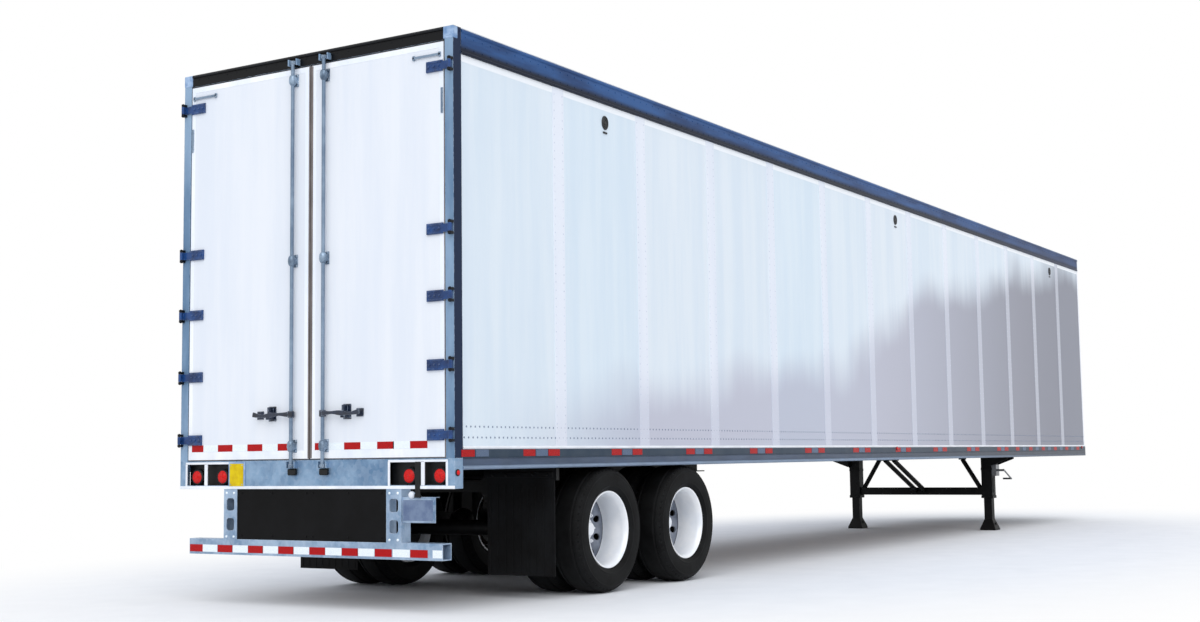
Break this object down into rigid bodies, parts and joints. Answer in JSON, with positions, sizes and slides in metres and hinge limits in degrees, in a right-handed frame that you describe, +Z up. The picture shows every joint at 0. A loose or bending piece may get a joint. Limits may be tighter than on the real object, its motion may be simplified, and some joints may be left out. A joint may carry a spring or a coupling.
{
  "type": "dry van semi trailer",
  "caption": "long enclosed box semi trailer with twin rear doors, twin-tyred tandem bogie, landing legs and kingpin coupler, parked uncoupled",
  "frame": {"origin": "on the ground, under the middle of the body's length and width", "axes": "+X forward to the nose, +Y to the left (road side), +Z up"},
  "size_m": [16.274, 2.62, 4.015],
  "materials": {
    "panel": "gloss white",
    "strip": "gloss white",
    "rail_blue": "gloss blue",
    "rail_silver": "satin",
    "galvanized": "galvanized spangle",
    "dark_steel": "satin",
    "roof": "satin",
    "wood": "worn hardwood",
    "black_steel": "satin black",
    "steel": "machined",
    "seal": "weathered",
    "lens_red": "clear red",
    "rubber": "matt black",
    "tyre": "matt black",
    "rim": "gloss white"
  },
  "bodies": {
    "chassis": {"side_wall_left": "panel", "side_wall_right": "panel", "splice_strips": "strip", "top_rails": "rail_blue", "bottom_rails": "rail_silver", "nose_frame": "rail_silver", "front_wall": "panel", "roof": "roof", "roof_bows": "roof", "floor": "wood", "crossmembers": "black_steel", "coupler_plate": "black_steel", "kingpin": "steel", "nose_connectors": "rail_silver", "rear_frame": "galvanized", "rear_sill": "galvanized", "hinge_butts": "dark_steel", "lamp_boxes": "black_steel", "rear_lamps": "lens_red", "marker_lamps": "lens_red", "impact_guard": "galvanized", "guard_panel": "rubber", "plate_bracket": "galvanized", "mud_flaps": "rubber", "flap_hangers": "black_steel", "slide_rails": "black_steel", "bogie_frame": "black_steel", "trailing_arms": "black_steel", "air_springs": "rubber", "axles": "black_steel", "air_tank": "black_steel", "landing_leg_left": "black_steel", "landing_leg_right": "black_steel", "landing_braces": "black_steel", "crank_handle": "steel"},
    "door_left": {"door_left": "panel", "door_seal_left": "seal", "lock_rod_left": "galvanized", "hinge_straps_left": "dark_steel"},
    "door_right": {"door_right": "panel", "door_seal_right": "seal", "lock_rod_right": "galvanized", "hinge_straps_right": "dark_steel"},
    "wheel_pair_rear_left": {"tyres_rear_left": "tyre", "wheels_rear_left": "rim"},
    "wheel_pair_rear_right": {"tyres_rear_right": "tyre", "wheels_rear_right": "rim"},
    "wheel_pair_front_left": {"tyres_front_left": "tyre", "wheels_front_left": "rim"},
    "wheel_pair_front_right": {"tyres_front_right": "tyre", "wheels_front_right": "rim"}
  },
  "joints": [
    {"name": "door_left_hinge", "type": "hinge", "parent": "chassis", "child": "door_left", "pos_m": [-8.107, 1.282, 2], "axis": [0, 0, -1], "range_deg": [0, 265]},
    {"name": "door_right_hinge", "type": "hinge", "parent": "chassis", "child": "door_right", "pos_m": [-8.107, -1.282, 2], "axis": [0, 0, 1], "range_deg": [0, 265]},
    {"name": "rear_left_spin", "type": "hinge", "parent": "chassis", "child": "wheel_pair_rear_left", "pos_m": [-6.07, 0.984, 0.487], "axis": [0, 1, 0], "continuous": true},
    {"name": "rear_right_spin", "type": "hinge", "parent": "chassis", "child": "wheel_pair_rear_right", "pos_m": [-6.07, -0.984, 0.487], "axis": [0, 1, 0], "continuous": true},
    {"name": "front_left_spin", "type": "hinge", "parent": "chassis", "child": "wheel_pair_front_left", "pos_m": [-4.827, 0.984, 0.487], "axis": [0, 1, 0], "continuous": true},
    {"name": "front_right_spin", "type": "hinge", "parent": "chassis", "child": "wheel_pair_front_right", "pos_m": [-4.827, -0.984, 0.487], "axis": [0, 1, 0], "continuous": true}
  ]
}
